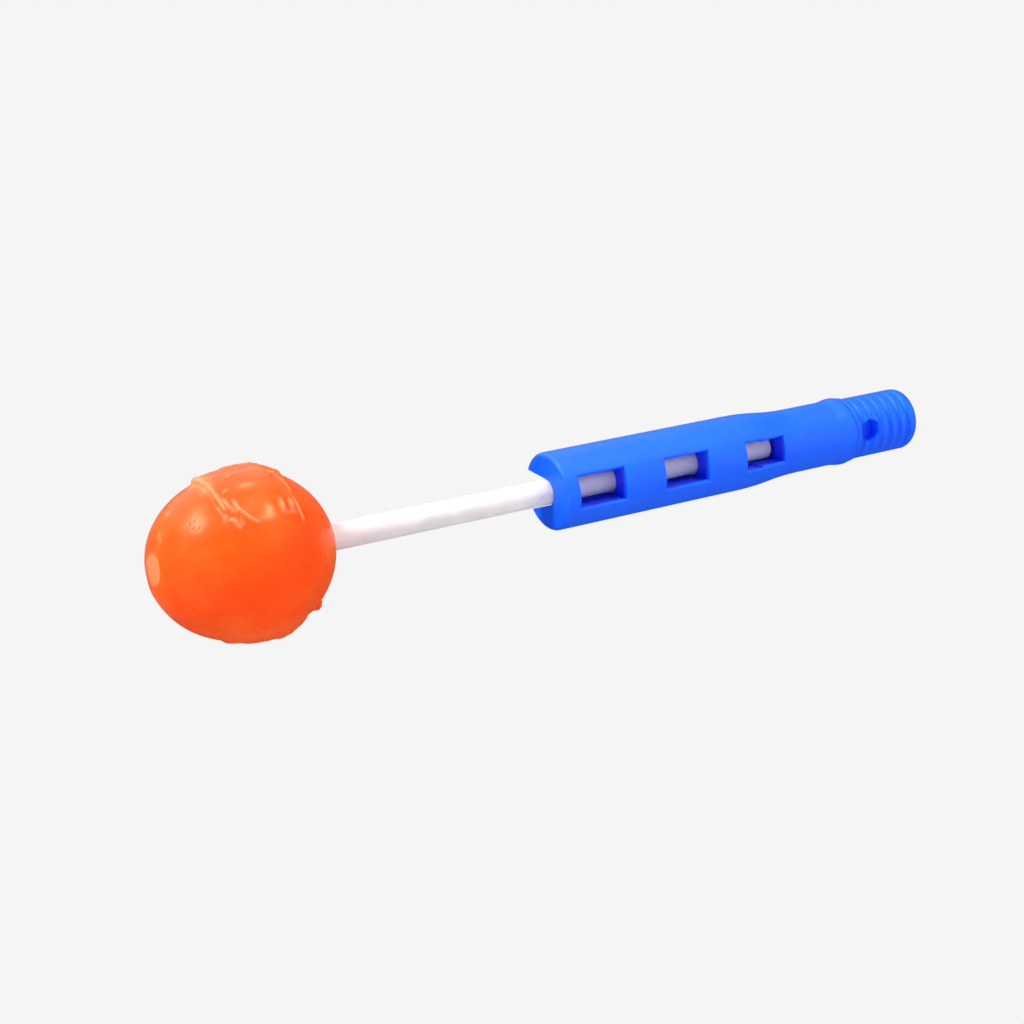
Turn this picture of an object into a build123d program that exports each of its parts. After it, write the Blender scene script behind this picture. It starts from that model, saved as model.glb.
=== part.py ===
"""Ball lollipop on a paper stick, held in a moulded holder tip that plugs into a handle.

The X axis runs along the stick: the candy is at -X and the holder's plug at +X.
The windows of the holder face -Y, and +Z is up.
The origin is on the axis, at the shoulder where the plug begins.
Millimetres throughout.
"""

from build123d import *
import os

# --- Stick: a rolled paper rod ---
stick_radius = 1.75
stick_length = 80.0
stick_edge_chamfer = 0.15

# --- Candy: a ball, a little longer along the stick, with a raised band and a flat nose ---
candy_centre_x = -92.0
candy_half_length = 11.75
candy_radius = 10.85
band_height = 0.6
band_start = -4.6
band_end = 6.2
nose_radius = 2.8
nose_flat = 0.1

# --- Holder barrel; its front face leans, so that the far side reaches further forward ---
barrel_radius = 5.47
barrel_length = 49.95
barrel_front_overrun = 1.5
barrel_front_fillet = 0.7
front_lean = 0.118
taper_start_x = -20.2
waist_start_x = -9.9
waist_end_x = -4.1
waist_radius = 4.77
collar_radius = 5.06
collar_x = -1.6
collar_end_x = -0.7
collar_end_radius = 4.75

# --- Bead between the collar and the plug ---
bead_x = -0.35
bead_radius = 4.85

# --- Plug: ribs on the two sides, smooth along the parting line at top and bottom ---
plug_radius = 4.6
plug_length = 10.7
plug_end_fillet = 1.1
groove_count = 6
groove_pitch = 1.65
first_groove_x = 0.4
groove_radius = 0.47
groove_axis_shift = 0.55
recess_x = 1.8
recess_radius = 1.6
recess_depth = 2.2

# --- Channel for the stick: pockets cut in turn from the near and the far side ---
channel_radius = 1.95
grip_clearance = 0.05
grip_length = 4.1
first_window_x = -47.2
window_length = 7.1
last_window_length = 6.8
window_pitch = 13.3
window_count = 3
window_half_heights = (2.15, 2.05, 1.95)
window_edge_round = 0.3
slot_mouth_half_height = 3.1
stick_seat_gap = 0.3

# --- Sizes that follow from the ones above ---
barrel_front_x = -barrel_length
rough_front_x = barrel_front_x - barrel_front_overrun
front_plane = Plane(origin=(barrel_front_x, 0, 0), z_dir=(1, front_lean, 0))
window_starts = [first_window_x + window_pitch * i for i in range(window_count)]
channel_end_x = window_starts[-1] + last_window_length
grip_start_x = channel_end_x - grip_length
grip_radius = stick_radius + grip_clearance
stick_end_x = channel_end_x - stick_seat_gap
stick_start_x = stick_end_x - stick_length
cut_reach = barrel_radius + 1.0

near_side = -1
far_side = 1

os.makedirs("parts", exist_ok=True)


def cut_pocket(start_x, end_x, radius, half_height, side):
    """Cut a pocket with a half-round floor about the axis, open through one side."""
    with BuildSketch(Plane.YZ.offset(start_x)) as pocket:
        Circle(radius)
        with Locations((side * cut_reach / 2, 0)):
            Rectangle(cut_reach, 2 * half_height)
    extrude(pocket.sketch, amount=end_x - start_x, mode=Mode.SUBTRACT)


def cut_front_slot(start_x, end_x):
    """Cut the slot in the front end, which widens towards the far side."""
    with BuildSketch(Plane.YZ.offset(start_x)) as slot:
        Circle(channel_radius)
        with BuildLine():
            Polyline(
                (0, channel_radius),
                (barrel_radius, slot_mouth_half_height),
                (cut_reach, slot_mouth_half_height + 0.3),
                (cut_reach, -slot_mouth_half_height - 0.3),
                (barrel_radius, -slot_mouth_half_height),
                (0, -channel_radius),
                close=True,
            )
        make_face()
    extrude(slot.sketch, amount=end_x - start_x, mode=Mode.SUBTRACT)


def is_mouth_edge(edge):
    """True for an edge of a window or pocket that lies on the barrel's outside."""
    ends = [edge @ 0, edge @ 0.5, edge @ 1]
    in_channel = all(abs(end.Z) < max(window_half_heights) + 0.1 for end in ends)
    near_outside = all(abs(end.Y) > 0.8 * barrel_radius for end in ends)
    behind_front = all(barrel_front_x + 2.0 < end.X < channel_end_x + 0.1 for end in ends)
    return in_channel and near_outside and behind_front


# --- Holder ---
with BuildPart() as holder:
    with BuildSketch(Plane.XZ) as profile:
        with BuildLine():
            front = Line((rough_front_x, 0), (rough_front_x, barrel_radius))
            barrel = Line(front @ 1, (taper_start_x, barrel_radius))
            taper_middle = (
                (taper_start_x + waist_start_x) / 2,
                (barrel_radius + waist_radius) / 2,
            )
            taper_out = TangentArc(barrel @ 1, taper_middle, tangent=(1, 0))
            taper_in = TangentArc(taper_out @ 1, (waist_start_x, waist_radius), tangent=taper_out % 1)
            waist = Line(taper_in @ 1, (waist_end_x, waist_radius))
            flare_middle = ((waist_end_x + collar_x) / 2, (waist_radius + collar_radius) / 2)
            flare_out = TangentArc(waist @ 1, flare_middle, tangent=(1, 0))
            flare_in = TangentArc(flare_out @ 1, (collar_x, collar_radius), tangent=flare_out % 1)
            collar = TangentArc(flare_in @ 1, (collar_end_x, collar_end_radius), tangent=(1, 0))
            bead = ThreePointArc(collar @ 1, (bead_x, bead_radius), (0, plug_radius))
            plug = Line(bead @ 1, (plug_length - plug_end_fillet, plug_radius))
            plug_rim = TangentArc(
                plug @ 1,
                (plug_length, plug_radius - plug_end_fillet),
                tangent=(1, 0),
            )
            plug_end = Line(plug_rim @ 1, (plug_length, 0))
            Line(plug_end @ 1, front @ 0)
        make_face()
    revolve(axis=Axis.X)
    split(bisect_by=front_plane, keep=Keep.TOP)
    fillet(holder.edges().sort_by(Axis.X)[0], barrel_front_fillet)

    # Grooves in the two sides of the plug. Each ring of grooves turns about a line
    # beyond the axis, so it runs out before the parting line at top and bottom.
    groove_xs = [first_groove_x + groove_pitch * i for i in range(groove_count)]
    for side in (near_side, far_side):
        with BuildSketch(Plane.XY) as grooves:
            with Locations([(x, side * plug_radius) for x in groove_xs]):
                Circle(groove_radius)
        revolve(
            axis=Axis((0, -side * groove_axis_shift, 0), (1, 0, 0)),
            mode=Mode.SUBTRACT,
        )

    # Round recess in the near side of the plug, for the handle's catch.
    with BuildSketch(Plane.XZ.offset(plug_radius - recess_depth)) as recess:
        with Locations((recess_x, 0)):
            Circle(recess_radius)
    extrude(amount=2 * recess_depth, mode=Mode.SUBTRACT)

    # Windows in the near side, with a pocket in the far side between each pair.
    for window_start, half_height in zip(window_starts[:-1], window_half_heights):
        window_end = window_start + window_length
        pocket_end = window_start + window_pitch
        cut_pocket(window_start, window_end, channel_radius, half_height, near_side)
        cut_pocket(window_end, pocket_end, channel_radius, channel_radius, far_side)
    last_half_height = window_half_heights[-1]
    cut_pocket(window_starts[-1], grip_start_x, channel_radius, last_half_height, near_side)
    cut_pocket(grip_start_x, channel_end_x, grip_radius, grip_radius, near_side)
    cut_front_slot(rough_front_x, first_window_x)

    # Soft edges where the windows and pockets break out of the barrel.
    fillet(holder.edges().filter_by(is_mouth_edge), window_edge_round)
holder.part.label = "holder"

# --- Stick ---
with BuildPart() as stick:
    with BuildSketch(Plane.YZ.offset(stick_start_x)):
        Circle(stick_radius)
    extrude(amount=stick_length)
    chamfer(stick.edges().filter_by(GeomType.CIRCLE), stick_edge_chamfer)
stick.part.label = "stick"

# --- Candy ---
with BuildPart() as candy:
    with BuildSketch(Plane.XZ) as ball_profile:
        with Locations((candy_centre_x, 0)):
            Ellipse(candy_half_length + band_height, candy_radius + band_height)
        with Locations((candy_centre_x + (band_start + band_end) / 2, 0)):
            Rectangle(band_end - band_start, 4 * candy_radius, mode=Mode.INTERSECT)
        with Locations((candy_centre_x, 0)):
            Ellipse(candy_half_length, candy_radius)
        with Locations((candy_centre_x - candy_half_length / 2 - nose_flat / 2, 0)):
            Rectangle(candy_half_length - nose_flat, 2 * nose_radius)
        with Locations((candy_centre_x, -2 * candy_radius)):
            Rectangle(4 * candy_half_length, 4 * candy_radius, mode=Mode.SUBTRACT)
    revolve(axis=Axis.X)
    with BuildSketch(Plane.YZ.offset(stick_start_x)) as stick_hole:
        Circle(stick_radius)
    extrude(amount=stick_length, mode=Mode.SUBTRACT)
candy.part.label = "candy"

for piece in (holder, stick, candy):
    export_step(piece.part, f"parts/{piece.part.label}.step")
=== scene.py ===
"""The looks of a ball lollipop in its holder tip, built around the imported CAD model. Metres."""

import math

import bpy
import numpy as np
from mathutils import Matrix, Vector, noise


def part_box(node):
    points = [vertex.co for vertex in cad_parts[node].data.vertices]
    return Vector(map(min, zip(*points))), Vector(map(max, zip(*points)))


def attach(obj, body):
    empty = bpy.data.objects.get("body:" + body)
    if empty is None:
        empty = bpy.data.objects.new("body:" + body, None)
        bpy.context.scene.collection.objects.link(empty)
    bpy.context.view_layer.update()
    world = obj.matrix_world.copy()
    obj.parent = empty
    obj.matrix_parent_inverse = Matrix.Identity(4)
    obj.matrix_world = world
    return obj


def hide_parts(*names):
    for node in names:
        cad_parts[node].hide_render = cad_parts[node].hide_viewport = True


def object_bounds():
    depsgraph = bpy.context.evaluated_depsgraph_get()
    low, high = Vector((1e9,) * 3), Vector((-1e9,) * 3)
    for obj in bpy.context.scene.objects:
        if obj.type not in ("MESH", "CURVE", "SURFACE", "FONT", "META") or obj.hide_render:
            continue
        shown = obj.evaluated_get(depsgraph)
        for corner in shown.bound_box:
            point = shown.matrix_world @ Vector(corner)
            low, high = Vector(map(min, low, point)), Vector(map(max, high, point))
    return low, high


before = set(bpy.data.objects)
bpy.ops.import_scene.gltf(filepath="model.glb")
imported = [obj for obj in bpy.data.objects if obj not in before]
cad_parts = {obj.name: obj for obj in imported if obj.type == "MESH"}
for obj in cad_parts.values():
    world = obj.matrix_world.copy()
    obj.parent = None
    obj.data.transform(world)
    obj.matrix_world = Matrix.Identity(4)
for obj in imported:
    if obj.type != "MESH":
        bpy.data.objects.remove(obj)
cad_low, cad_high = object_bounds()
mm = 0.001

HOLDER_LOW, HOLDER_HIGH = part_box("holder")
STICK_LOW, STICK_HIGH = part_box("stick")
CANDY_LOW, CANDY_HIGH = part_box("candy")
STICK_RADIUS = (STICK_HIGH.z - STICK_LOW.z) / 2


# --- Camera ---

CAMERA_AZIMUTH = math.radians(22.53)
CAMERA_ELEVATION = math.radians(11.82)
CAMERA_ROLL = math.radians(-7.29)
CAMERA_DISTANCE = 176.0 * mm
CAMERA_LENS = 45.70
SENSOR_WIDTH = 36.0
CLIP_START = 0.005
CLIP_END = 20.0
AIM_X = -55.3 * mm
AIM_Z = -1.7 * mm


def camera_axes():
    """The camera's right, up and forward directions in the row frame."""
    a, e, roll = CAMERA_AZIMUTH, CAMERA_ELEVATION, CAMERA_ROLL
    forward = Vector((math.cos(e) * math.sin(a), math.cos(e) * math.cos(a), -math.sin(e)))
    level_right = Vector((math.cos(a), -math.sin(a), 0.0))
    level_up = level_right.cross(forward)
    right = math.cos(roll) * level_right + math.sin(roll) * level_up
    up = math.cos(roll) * level_up - math.sin(roll) * level_right
    return right, up, forward


def make_camera():
    right, up, forward = camera_axes()
    data = bpy.data.cameras.new("camera")
    data.sensor_width = SENSOR_WIDTH
    data.lens = CAMERA_LENS
    data.clip_start = CLIP_START
    data.clip_end = CLIP_END
    camera = bpy.data.objects.new("camera", data)
    turn = Matrix((right, up, -forward)).transposed().to_4x4()
    aim = Vector((AIM_X, 0.0, AIM_Z))
    camera.matrix_world = Matrix.Translation(aim - forward * CAMERA_DISTANCE) @ turn
    bpy.context.scene.collection.objects.link(camera)
    bpy.context.scene.camera = camera


# --- Candy: a pressed ball with a raised, ragged band where the two halves of its mould met ---

# All in millimetres. A place on the ball is a distance s along the axis from the ball's
# centre, with the stick's side positive, and an angle phi in degrees around the axis:
# 0 faces -Y, 90 is the top and 180 is the far side.
BALL_CENTRE_X = (CANDY_LOW.x + CANDY_HIGH.x) / 2 / mm - 0.1
BALL_HALF_LENGTH = 11.75
BALL_RADIUS_FRONT = 10.57
BALL_RADIUS_REAR = 10.93
BALL_RISE = 0.10
BALL_TOP_RADIUS = (CANDY_HIGH.z - CANDY_LOW.z) / 2 / mm
BOX_MARGIN = 0.02
TIP_RADIUS = 0.12
SEAT_CLEARANCE = 0.02
SEAT_RADIUS = STICK_RADIUS / mm + SEAT_CLEARANCE
SEAT_LOOPS = 14
SIDES_AROUND = 448

# Spacing of the rings of vertices along the axis.
CAP_STEPS = 200
FINE_START = -9.2
FINE_END = 8.6
FINE_STEP = 0.105

# The pale disc on the nose, a little below the level of the skin around it.
DISC_CENTRE = (-11.35, -2.55, 1.20)
DISC_RADIUS = 2.15
DISC_DEPTH = 0.10
DISC_LIP = 0.09
DISC_PALENESS = 0.85

# A crest this tall gets the full painted highlight.
CREST_HIGHLIGHT_HEIGHT = 0.22


def smooth(value, start, end):
    """Smooth step from 0 at start to 1 at end, for arrays."""
    t = np.clip((value - start) / (end - start), 0.0, 1.0)
    return t * t * (3.0 - 2.0 * t)


def bell(value, centre, width):
    return np.exp(-(((value - centre) / width) ** 2))


def turn_gap(phi, centre):
    """Signed angle in degrees from centre to phi, the short way round."""
    return (phi - centre + 180.0) % 360.0 - 180.0


def noise_field(points, scale, seed, octaves=3):
    """Fractal noise, about -1 to 1, at each of the points in millimetres."""
    shift = Vector((seed * 7.31, seed * 3.17, seed * 5.71))
    return np.array([
        noise.fractal(Vector(p) / scale + shift, 1.0, 2.0, octaves) for p in points
    ])


class Surface:
    """Heights over the ball, on a grid of distance along the axis and angle around it."""

    def __init__(self, s, phi, radius):
        self.s = s
        self.phi = phi
        self.radius = radius
        self.height = np.zeros_like(s)

    def lump(self, s0, phi0, height, along, around):
        """A rounded lump, or a pit where the height is negative. Sizes in millimetres."""
        arc = np.radians(turn_gap(self.phi, phi0)) * self.radius
        d2 = ((self.s - s0) / along) ** 2 + (arc / around) ** 2
        self.height += height * np.exp(-d2)

    def ridge(self, path, height, width):
        """A raised crease along a path of (distance, angle), thinner at its two ends."""
        best = np.full_like(self.s, 1e9)
        where = np.zeros_like(self.s)
        spans = len(path) - 1
        for i in range(spans):
            (s0, p0), (s1, p1) = path[i], path[i + 1]
            arc = np.radians(turn_gap(self.phi, p0)) * self.radius
            arc1 = np.radians(p1 - p0) * self.radius
            ds = s1 - s0
            t = np.clip(((self.s - s0) * ds + arc * arc1) / (ds * ds + arc1 * arc1 + 1e-9), 0, 1)
            d = np.hypot(self.s - s0 - t * ds, arc - t * arc1)
            closer = d < best
            best = np.where(closer, d, best)
            where = np.where(closer, (i + t) / spans, where)
        ends = np.sqrt(np.clip(4.0 * where * (1.0 - where), 0.0, 1.0))
        self.height += height * (0.35 + 0.65 * ends) * np.exp(-((best / width) ** 2))


def band_edges(phi, ragged):
    """Where the raised band starts and ends along the axis, at each angle."""
    start = -2.6 - 1.5 * bell(turn_gap(phi, 88), 0, 26) - 1.7 * bell(turn_gap(phi, -92), 0, 30)
    start = start - 0.8 * smooth(np.abs(turn_gap(phi, 0)), 100, 150)
    away = smooth(np.abs(turn_gap(phi, -5)), 30, 60)
    start = start + 0.45 * ragged * away
    end = 6.2 + 0.25 * ragged - 0.7 * bell(turn_gap(phi, -88), 0, 35)
    return start, end


def raise_band(skin, points):
    """The raised band with its ragged edges, creased at the top, the bottom and the back."""
    s, phi = skin.s, skin.phi
    ragged = noise_field(points, 2.2, 3)
    rolling = noise_field(points, 4.5, 5, 2)
    crumple = noise_field(points, 1.5, 9, 4)

    start, end = band_edges(phi, ragged)
    top = bell(turn_gap(phi, 92), 0, 48)
    bottom = bell(turn_gap(phi, -90), 0, 45)
    back = bell(turn_gap(phi, 180), 0, 60)
    rough = np.clip(top + 0.6 * bottom + 0.7 * back, 0, 1)
    edge = 1.5 - 1.25 * rough
    rise = smooth(s, start - edge * 0.5, start + edge * 0.5)
    fall = 1.0 - smooth(s, end - 0.25, end + 0.25)
    in_band = rise * fall
    skin.height += in_band * (0.09 + 0.24 * top + 0.14 * bottom + 0.14 * back)
    skin.height += in_band * bell(s, 3.3, 1.3) * (0.16 * top + 0.30 * bottom + 0.12 * back)

    skin.height += 0.03 * rolling
    calm = 1.0 - 0.6 * bell(turn_gap(phi, 65), 0, 30)
    skin.height += in_band * rough * calm * 0.09 * crumple
    creases = 1.0 - np.abs(noise_field(points, 2.6, 21, 3)) * 2.2
    skin.height += in_band * rough * calm * 0.14 * np.clip(creases, 0, 1) ** 4


def add_top_folds(skin):
    """Lip and folds where the band's edge rolls over, and the flash along the top seam."""
    skin.lump(-3.7, 88, 0.42, 0.85, 1.5)
    skin.lump(-3.4, 70, 0.20, 0.7, 1.2)
    skin.ridge([(-3.5, 78), (-2.9, 62), (-2.6, 52), (-2.35, 44)], 0.22, 0.24)
    skin.ridge([(-2.2, 54), (-1.7, 45), (-1.2, 40)], 0.16, 0.22)
    skin.ridge([(-1.1, 50), (-0.8, 42), (0.1, 34.5), (1.0, 30)], 0.24, 0.20)
    skin.ridge([(-1.9, 37), (-1.5, 34), (-1.35, 30)], 0.20, 0.30)
    skin.ridge([(-1.0, 36), (-0.9, 32), (-1.3, 29)], 0.12, 0.22)
    skin.lump(-1.2, 33, -0.10, 0.22, 0.5)

    skin.ridge([(-0.2, 99), (0.6, 99), (1.8, 97), (3.2, 95)], 0.26, 0.24)
    skin.lump(0.25, 99, 0.22, 0.42, 0.5)
    skin.lump(3.3, 92, 0.04, 1.1, 2.2)


def add_shoulder_lumps(skin):
    """Lumps and a crease on the near shoulder, towards the stick."""
    skin.lump(0.9, 59, 0.15, 1.1, 0.5)
    skin.lump(2.6, 36.5, 0.30, 0.50, 0.75)
    skin.lump(2.2, 32.5, 0.16, 0.95, 0.40)
    skin.lump(4.3, 40.5, 0.28, 0.34, 0.75)
    skin.lump(5.5, 42.5, 0.24, 0.34, 0.75)
    skin.lump(5.1, 35.5, 0.16, 0.75, 0.28)
    skin.lump(4.9, 41, -0.20, 0.22, 0.6)
    skin.ridge([(6.1, 48), (6.35, 40), (6.55, 29)], 0.30, 0.18)
    skin.ridge([(4.4, 78), (5.4, 68), (6.0, 58), (6.1, 50)], 0.14, 0.24)
    skin.lump(-1.6, 59, 0.22, 0.30, 0.20)
    skin.lump(4.7, 74, 0.22, 0.28, 0.26)


def add_front_marks(skin):
    """Crumbs on the front half, and four small pits in the middle of its highlight."""
    skin.lump(-8.2, 74, 0.20, 0.36, 0.5)
    skin.ridge([(-9.9, 64), (-9.8, 56), (-9.9, 48)], 0.10, 0.18)
    skin.lump(-5.2, 54, 0.05, 1.2, 0.8)
    for s0, phi0, size in ((-6.6, 46, 0.16), (-5.9, 47, 0.13), (-6.3, 40, 0.15), (-5.6, 38, 0.12)):
        skin.lump(s0, phi0, -0.045, size, size)


def add_underside(skin):
    """A hanging spur past the band's edge, the notch beside it, and small flakes."""
    skin.ridge([(7.5, -46), (7.35, -56), (7.25, -66)], 0.55, 0.20)
    skin.lump(6.25, -60, -0.34, 0.50, 1.8)
    skin.lump(2.2, -66, 0.16, 0.24, 0.4)
    skin.lump(-5.3, -58, 0.10, 0.5, 0.8)
    skin.lump(-7.8, -62, 0.18, 0.7, 0.5)


def candy_heights(s, phi, radius, points):
    """Height of the skin above the plain ball in millimetres, and the painted highlight on its
    crests, on the upper half only.
    """
    skin = Surface(s, phi, radius)
    raise_band(skin, points)
    plain = skin.height.copy()
    add_top_folds(skin)
    add_shoulder_lumps(skin)
    add_front_marks(skin)
    add_underside(skin)
    crest_highlight = np.clip((skin.height - plain) / CREST_HIGHLIGHT_HEIGHT, 0.0, 1.0)
    # Painted highlight: only the crests on the upper half are paler, where the light catches them.
    lit_top_half = smooth(turn_gap(phi, 0), -30, 0)
    return skin.height, crest_highlight * lit_top_half


def candy_rings():
    """Distances along the axis of the rings of vertices, closer together over the band."""
    angle = np.linspace(0, math.pi, CAP_STEPS + 1)
    caps = -BALL_HALF_LENGTH * np.cos(angle)
    tip_edge = -BALL_HALF_LENGTH * math.sqrt(1 - (TIP_RADIUS / BALL_RADIUS_FRONT) ** 2)
    stick_edge = BALL_HALF_LENGTH * math.sqrt(1 - (SEAT_RADIUS / BALL_RADIUS_REAR) ** 2)
    front = [v for v in caps if tip_edge + 0.0005 < v < FINE_START - 0.05]
    fine = np.arange(FINE_START, FINE_END, FINE_STEP)
    rear = [v for v in caps[::3] if FINE_END + 0.1 < v < stick_edge - 0.02]
    return np.concatenate([[tip_edge], front, fine, rear, [stick_edge]])


def ball_radius(s):
    across = BALL_RADIUS_FRONT + (BALL_RADIUS_REAR - BALL_RADIUS_FRONT) * smooth(s, -3.0, 3.0)
    return across * np.sqrt(np.clip(1 - (s / BALL_HALF_LENGTH) ** 2, 0, 1))


def candy_skin(rings, phi):
    """Points of the outer skin, ring by ring, and how much each is painted paler: a painted
    highlight on the upper crests, and the pale nose disc.
    """
    s, p = np.meshgrid(rings, phi, indexing="ij")
    r = ball_radius(s)
    rad = np.radians(p)
    base = np.stack([s, -r * np.cos(rad), r * np.sin(rad)], -1)
    flat = base.reshape(-1, 3)
    height, crest_highlight = candy_heights(s.ravel(), p.ravel(), np.maximum(r.ravel(), 1.0), flat)
    height, crest_highlight = height.reshape(s.shape), crest_highlight.reshape(s.shape)

    to_disc = np.linalg.norm(base - np.array(DISC_CENTRE), axis=-1)
    on_disc = 1.0 - smooth(to_disc, DISC_RADIUS - 0.5, DISC_RADIUS + 0.15)
    height = height - DISC_DEPTH * on_disc + DISC_LIP * bell(to_disc, DISC_RADIUS + 0.05, 0.16)
    near_ends = smooth(r, SEAT_RADIUS, SEAT_RADIUS + 1.6)
    height = height * near_ends

    normal = np.stack([
        s / BALL_HALF_LENGTH ** 2,
        base[..., 1] / BALL_RADIUS_REAR ** 2,
        base[..., 2] / BALL_RADIUS_REAR ** 2,
    ], -1)
    normal /= np.linalg.norm(normal, axis=-1, keepdims=True)
    skin = base + normal * height[..., None]
    skin[..., 2] += BALL_RISE * near_ends

    # Stay inside the CAD candy's box.
    skin[..., 0] = np.maximum(skin[..., 0], CANDY_LOW.x / mm - BALL_CENTRE_X + BOX_MARGIN)
    reach = np.hypot(skin[..., 1], skin[..., 2])
    limit = BALL_TOP_RADIUS - BOX_MARGIN
    shrink = np.where(reach > limit, limit / np.maximum(reach, 1e-6), 1.0)
    skin[..., 1:] *= shrink[..., None]
    return skin, np.maximum(crest_highlight, DISC_PALENESS * on_disc)


def make_candy(material):
    """One closed skin: nose, ball, then down into the seat around the stick."""
    rings = candy_rings()
    phi = np.arange(SIDES_AROUND) * 360.0 / SIDES_AROUND
    skin, highlight_and_disc = candy_skin(rings, phi)

    loops = list(skin)
    unit = np.stack([np.zeros_like(phi), -np.cos(np.radians(phi)), np.sin(np.radians(phi))], -1)
    seat_mouth = rings[-1]
    seat_floor = STICK_LOW.x / mm - BALL_CENTRE_X - SEAT_CLEARANCE
    for x in np.linspace(seat_mouth - 0.15, seat_floor, SEAT_LOOPS):
        ring = unit * SEAT_RADIUS
        ring[:, 0] = x
        loops.append(ring)
    vertices = np.concatenate(loops + [[skin[0].mean(0)], [[seat_floor, 0, 0]]])
    vertices[:, 0] += BALL_CENTRE_X

    n = SIDES_AROUND
    faces = []
    for i in range(len(loops) - 1):
        for j in range(n):
            k = (j + 1) % n
            faces.append((i * n + j, i * n + k, (i + 1) * n + k, (i + 1) * n + j))
    nose, floor = len(vertices) - 2, len(vertices) - 1
    last = (len(loops) - 1) * n
    for j in range(n):
        k = (j + 1) % n
        faces.append((nose, k, j))
        faces.append((floor, last + j, last + k))
    mesh = bpy.data.meshes.new("candy_ball")
    mesh.from_pydata((vertices * mm).tolist(), [], faces)
    mesh.validate()
    for polygon in mesh.polygons:
        polygon.use_smooth = True
    # The 'pale' attribute carries the painted highlight on the upper crests and the paler nose
    # disc.
    pale = np.zeros(len(vertices))
    pale[:highlight_and_disc.size] = highlight_and_disc.ravel()
    mesh.attributes.new("pale", "FLOAT", "POINT").data.foreach_set("value", pale)
    mesh.materials.append(material)
    candy = bpy.data.objects.new("candy_ball", mesh)
    bpy.context.scene.collection.objects.link(candy)
    return candy


# --- Materials ---

# Painted shade: a deeper blue painted into the windows and pockets, where the light has bounced off
# blue walls;
# where it starts and ends along the axis, and the depth below the barrel's surface that the colour
# ramp covers.
POCKET_SHADE_START = HOLDER_LOW.x + 3.0 * mm
POCKET_SHADE_END = -12.0 * mm
POCKET_SHADE_DEPTH = 3.0 * mm
POCKET_SHADE_BLUE = (0.0, 0.022, 0.88)

# One turn of the paper's spiral seam, and how far the painted pink glow of light bounced off the
# candy reaches from it.
SEAM_PITCH = 17.0 * mm
CANDY_GLOW_LENGTH = 14.0 * mm
SEAM_GREY = (0.50, 0.46, 0.46)
CANDY_GLOW_PINK = (0.74, 0.60, 0.61)

# Painted highlight on the upper crests, also used for the paler nose disc: its colour and how much
# of it is mixed in.
CREST_HIGHLIGHT_AND_DISC_TINT = (1.0, 0.33, 0.15)
CREST_HIGHLIGHT_AND_DISC_SHARE = 0.60


class Nodes:
    """Short names for building a material's node tree."""

    def __init__(self, name):
        self.material = bpy.data.materials.new(name)
        self.material.use_nodes = True
        self.tree = self.material.node_tree
        self.shader = self.tree.nodes["Principled BSDF"]

    def node(self, kind, **settings):
        made = self.tree.nodes.new(kind)
        for name, value in settings.items():
            setattr(made, name, value)
        return made

    def link(self, source, target):
        self.tree.links.new(source, target)

    def place(self):
        return self.node("ShaderNodeNewGeometry").outputs["Position"]

    def noise(self, where, scale, detail=3.0, stretch=(1, 1, 1)):
        if stretch != (1, 1, 1):
            mapping = self.node("ShaderNodeMapping")
            mapping.inputs["Scale"].default_value = stretch
            self.link(where, mapping.inputs["Vector"])
            where = mapping.outputs["Vector"]
        made = self.node("ShaderNodeTexNoise")
        made.inputs["Scale"].default_value = scale
        made.inputs["Detail"].default_value = detail
        self.link(where, made.inputs["Vector"])
        return made.outputs["Fac"]

    def ramp(self, value, stops):
        made = self.node("ShaderNodeValToRGB")
        elements = made.color_ramp.elements
        while len(elements) < len(stops):
            elements.new(0.5)
        for element, (position, colour) in zip(elements, stops):
            element.position = position
            element.color = (*colour, 1.0)
        self.link(value, made.inputs["Fac"])
        return made.outputs["Color"]

    def math(self, operation, a, b=None):
        made = self.node("ShaderNodeMath", operation=operation)
        for socket, value in zip(made.inputs, (a, b)):
            if value is None:
                continue
            if isinstance(value, (int, float)):
                socket.default_value = value
            else:
                self.link(value, socket)
        return made.outputs[0]

    def mix(self, factor, a, b):
        made = self.node("ShaderNodeMix", data_type="RGBA")
        for name, value in (("Factor", factor), ("A", a), ("B", b)):
            socket = next(i for i in made.inputs if i.name == name and i.enabled)
            if isinstance(value, (int, float)):
                socket.default_value = value
            elif isinstance(value, tuple):
                socket.default_value = (*value, 1.0)
            else:
                self.link(value, socket)
        return next(o for o in made.outputs if o.enabled)

    def bump(self, height, strength, distance, base=None):
        made = self.node("ShaderNodeBump")
        made.inputs["Strength"].default_value = strength
        made.inputs["Distance"].default_value = distance
        self.link(height, made.inputs["Height"])
        if base is not None:
            self.link(base, made.inputs["Normal"])
        return made.outputs["Normal"]

    def set(self, **values):
        for name, value in values.items():
            socket = self.shader.inputs[name.replace("_", " ")]
            if isinstance(value, (int, float)):
                socket.default_value = value
            elif isinstance(value, tuple):
                is_colour = name != "Subsurface_Radius"
                socket.default_value = (*value, 1.0) if is_colour else value
            else:
                self.link(value, socket)


def grey(level):
    return (level, level, level)


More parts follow.
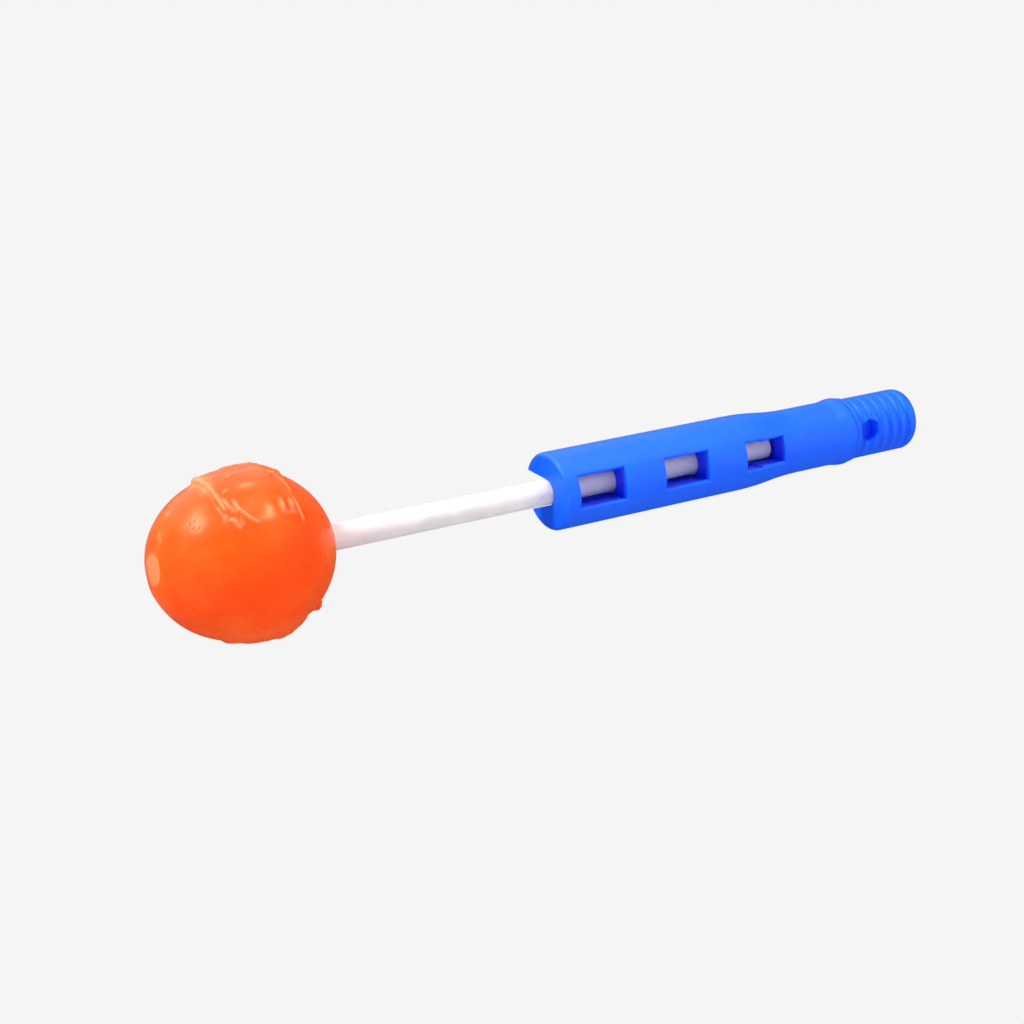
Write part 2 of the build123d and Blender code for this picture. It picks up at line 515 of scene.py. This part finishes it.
def holder_material():
    """Moulded blue plastic: faint flow marks, a fine grain, and painted shade: deeper blue in the
    pockets.
    """
    n = Nodes("holder_plastic")
    where = n.place()
    cloud = n.noise(where, 170.0, 3.0)
    flow = n.noise(where, 260.0, 2.0, (0.35, 1, 1))
    mixed = n.math("ADD", n.math("MULTIPLY", cloud, 0.6), n.math("MULTIPLY", flow, 0.4))
    colour = n.ramp(mixed, [
        (0.30, (0.0, 0.090, 0.920)), (0.55, (0.0, 0.102, 0.960)), (0.75, (0.0, 0.114, 0.990)),
    ])
    parts = n.node("ShaderNodeSeparateXYZ")
    n.link(where, parts.inputs[0])
    x, y, z = parts.outputs
    across = n.math("SQRT", n.math("ADD", n.math("MULTIPLY", y, y), n.math("MULTIPLY", z, z)))
    depth = n.math("SUBTRACT", (HOLDER_HIGH.z - HOLDER_LOW.z) / 2, across)
    # Painted shade: the colour turns deeper blue with depth inside the windows and pockets.
    pocket_shade = n.ramp(n.math("DIVIDE", depth, POCKET_SHADE_DEPTH), [(0.16, grey(0)), (0.55, grey(1))])
    behind_face = n.math("GREATER_THAN", x, POCKET_SHADE_START)
    before_plug = n.math("LESS_THAN", x, POCKET_SHADE_END)
    pocket_shade = n.math("MULTIPLY", pocket_shade, n.math("MULTIPLY", behind_face, before_plug))
    colour = n.mix(pocket_shade, colour, POCKET_SHADE_BLUE)
    grain = n.noise(where, 5200.0, 2.0)
    rough = n.ramp(n.noise(where, 900.0, 2.0), [(0.3, grey(0.46)), (0.7, grey(0.58))])
    normal = n.bump(grain, 0.22, 0.06 * mm)
    normal = n.bump(n.noise(where, 420.0, 2.0), 0.25, 0.18 * mm, normal)
    n.set(Base_Color=colour, Roughness=rough, Normal=normal, IOR=1.49,
          Specular_IOR_Level=0.80, Specular_Tint=(0.42, 0.75, 1.0))
    return n.material


def stick_material():
    """Rolled white paper: a spiral seam, long fibres, and a painted pink glow of light bounced off
    the candy next to it.
    """
    n = Nodes("rolled_paper")
    where = n.place()
    parts = n.node("ShaderNodeSeparateXYZ")
    n.link(where, parts.inputs[0])
    x, y, z = parts.outputs
    turn = n.math("DIVIDE", n.math("ARCTAN2", z, y), 2 * math.pi)
    helix = n.math("FRACT", n.math("ADD", turn, n.math("DIVIDE", x, SEAM_PITCH)))
    off_seam = n.math("ABSOLUTE", n.math("SUBTRACT", helix, 0.5))
    seam = n.math("SUBTRACT", 1.0, n.math("MULTIPLY", off_seam, 2.0))
    line = n.ramp(seam, [(0.93, grey(0)), (0.985, grey(1))])
    fibres = n.noise(where, 900.0, 4.0, (0.22, 1, 1))
    mottle = n.noise(where, 320.0, 3.0)
    mixed = n.math("ADD", n.math("MULTIPLY", fibres, 0.5), n.math("MULTIPLY", mottle, 0.5))
    paper = n.ramp(mixed, [
        (0.32, (0.640, 0.600, 0.610)), (0.50, (0.700, 0.662, 0.672)), (0.68, (0.745, 0.713, 0.723)),
    ])
    paper = n.mix(n.math("MULTIPLY", line, 0.22), paper, SEAM_GREY)
    # Painted reflected light: a pink glow near the candy, fading over CANDY_GLOW_LENGTH.
    from_candy = n.math("DIVIDE", n.math("SUBTRACT", x, CANDY_HIGH.x), CANDY_GLOW_LENGTH)
    near_candy = n.math("SUBTRACT", 1.0, from_candy)
    candy_glow = n.ramp(near_candy, [(0.0, grey(0)), (1.0, grey(0.55))])
    colour = n.mix(candy_glow, paper, CANDY_GLOW_PINK)
    height = n.math("ADD", n.math("MULTIPLY", fibres, 0.7), n.math("MULTIPLY", line, -0.6))
    normal = n.bump(height, 0.30, 0.08 * mm)
    n.set(Base_Color=colour, Roughness=0.72, Normal=normal, Subsurface_Weight=0.12,
          Subsurface_Radius=(1.0, 0.8, 0.8), Subsurface_Scale=0.6 * mm)
    return n.material


def candy_material():
    """Boiled orange sugar: cloudy depth, a painted highlight on the upper crests, a paler nose
    disc, and a wet-looking skin.
    """
    n = Nodes("boiled_sugar")
    where = n.place()
    cloud = n.noise(where, 130.0, 3.0)
    veins = n.noise(where, 420.0, 4.0, (0.5, 1, 1))
    mixed = n.math("ADD", n.math("MULTIPLY", cloud, 0.7), n.math("MULTIPLY", veins, 0.3))
    colour = n.ramp(mixed, [
        (0.30, (0.955, 0.060, 0.003)), (0.50, (0.980, 0.082, 0.006)), (0.70, (1.000, 0.125, 0.016)),
    ])
    # The 'pale' attribute holds the painted highlight on the upper crests and the paler nose disc.
    pale = n.node("ShaderNodeAttribute", attribute_name="pale").outputs["Fac"]
    colour = n.mix(n.math("MULTIPLY", pale, CREST_HIGHLIGHT_AND_DISC_SHARE), colour, CREST_HIGHLIGHT_AND_DISC_TINT)
    rough = n.ramp(n.noise(where, 700.0, 3.0), [(0.35, grey(0.27)), (0.7, grey(0.40))])
    normal = n.bump(n.noise(where, 1100.0, 2.0), 0.08, 0.10 * mm)
    n.set(Base_Color=colour, Roughness=rough, Normal=normal, IOR=1.45, Subsurface_Weight=0.35,
          Subsurface_Radius=(1.0, 0.25, 0.05), Subsurface_Scale=2.0 * mm,
          Specular_IOR_Level=0.29, Specular_Tint=(1.0, 0.66, 0.42),
          Sheen_Weight=0.20, Sheen_Tint=(1.0, 0.45, 0.22), Sheen_Roughness=0.45)
    return n.material


# --- Stage and light ---

PAPER_WHITE = 0.913
FLOOR_Z = -0.16
ROOM_RADIUS = 2.2
ROOM_HEIGHT = 3.0
CORNER_RADIUS = 0.9
CORNER_STEPS = 20
ROOM_SIDES = 96
WORLD_STRENGTH = 0.11
LIGHTS = (
    # name, direction from the object, distance, size, power, makes highlights
    ("key", (-0.647, -0.098, 0.756), 0.55, 0.17, 3.2, True),
    ("top_front", (0.20, -0.45, 0.87), 0.60, 0.45, 2.1, True),
    ("top_back", (-0.10, 0.50, 0.85), 0.60, 1.00, 3.7, True),
    ("front_low", (0.10, -1.0, -0.02), 0.80, 0.80, 2.1, False),
    ("right_low", (0.80, -0.60, 0.05), 0.80, 0.80, 3.1, False),
    ("left_low", (-0.85, -0.40, -0.30), 0.80, 1.00, 4.1, False),
    ("under", (0.05, -0.30, -0.95), 0.60, 1.10, 2.2, False),
)


def make_stage():
    """A pale round room: a floor that sweeps up into the wall, and a flat ceiling."""
    corner = [math.radians(90.0 / CORNER_STEPS * i) for i in range(CORNER_STEPS + 1)]
    flat = ROOM_RADIUS - CORNER_RADIUS
    floor_half = [
        (flat + CORNER_RADIUS * math.sin(a), CORNER_RADIUS * (1 - math.cos(a))) for a in corner
    ]
    profile = floor_half + [(r, ROOM_HEIGHT - z) for r, z in reversed(floor_half)]
    around = [2 * math.pi * i / ROOM_SIDES for i in range(ROOM_SIDES)]
    vertices = [
        (r * math.cos(t), r * math.sin(t), FLOOR_Z + z) for r, z in profile for t in around
    ]
    n = ROOM_SIDES
    faces = []
    for i in range(len(profile) - 1):
        for j in range(n):
            k = (j + 1) % n
            faces.append((i * n + j, i * n + k, (i + 1) * n + k, (i + 1) * n + j))
    faces.append(tuple(range(n)))
    faces.append(tuple(range((len(profile) - 1) * n, len(profile) * n)))
    mesh = bpy.data.meshes.new("room")
    mesh.from_pydata(vertices, [], faces)
    material = bpy.data.materials.new("pale_room")
    material.use_nodes = True
    shader = material.node_tree.nodes["Principled BSDF"]
    shader.inputs["Base Color"].default_value = (0.0, 0.0, 0.0, 1)
    shader.inputs["Specular IOR Level"].default_value = 0.0
    shader.inputs["Emission Color"].default_value = (1, 1, 1, 1)
    shader.inputs["Emission Strength"].default_value = PAPER_WHITE
    mesh.materials.append(material)
    room = bpy.data.objects.new("room", mesh)
    bpy.context.scene.collection.objects.link(room)
    # The room is lit by itself, and only the camera sees it: the lamps alone shape the object.
    room.visible_diffuse = False
    room.visible_glossy = False
    room.visible_transmission = False
    room.visible_shadow = False


def make_light(name, direction, distance, size, power, gloss):
    """A round softbox that shines on the middle of the object from the given direction.

    Without gloss it fills the shadows but makes no highlight.
    """
    data = bpy.data.lights.new(name, "AREA")
    data.shape = "DISK"
    data.size = size
    data.energy = power
    light = bpy.data.objects.new(name, data)
    light.visible_camera = False
    light.visible_glossy = gloss
    middle = Vector(((cad_low[0] + cad_high[0]) / 2, 0.0, 0.0))
    aim = Vector(direction).normalized()
    light.location = middle + aim * distance
    light.rotation_euler = aim.to_track_quat("Z", "Y").to_euler()
    bpy.context.scene.collection.objects.link(light)


def make_light_rig():
    world = bpy.data.worlds.new("studio")
    world.use_nodes = True
    background = world.node_tree.nodes["Background"]
    background.inputs["Color"].default_value = (1, 1, 1, 1)
    background.inputs["Strength"].default_value = WORLD_STRENGTH
    bpy.context.scene.world = world
    for light in LIGHTS:
        make_light(*light)
    bpy.context.scene.view_settings.view_transform = "Standard"


# --- Build ---

make_camera()
make_stage()
make_light_rig()

plastic = holder_material()
paper = stick_material()
sugar = candy_material()
for name, material in (("holder", plastic), ("stick", paper)):
    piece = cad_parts[name]
    piece.data.materials.clear()
    piece.data.materials.append(material)

candy = make_candy(sugar)
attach(candy, "lollipop")
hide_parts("candy")
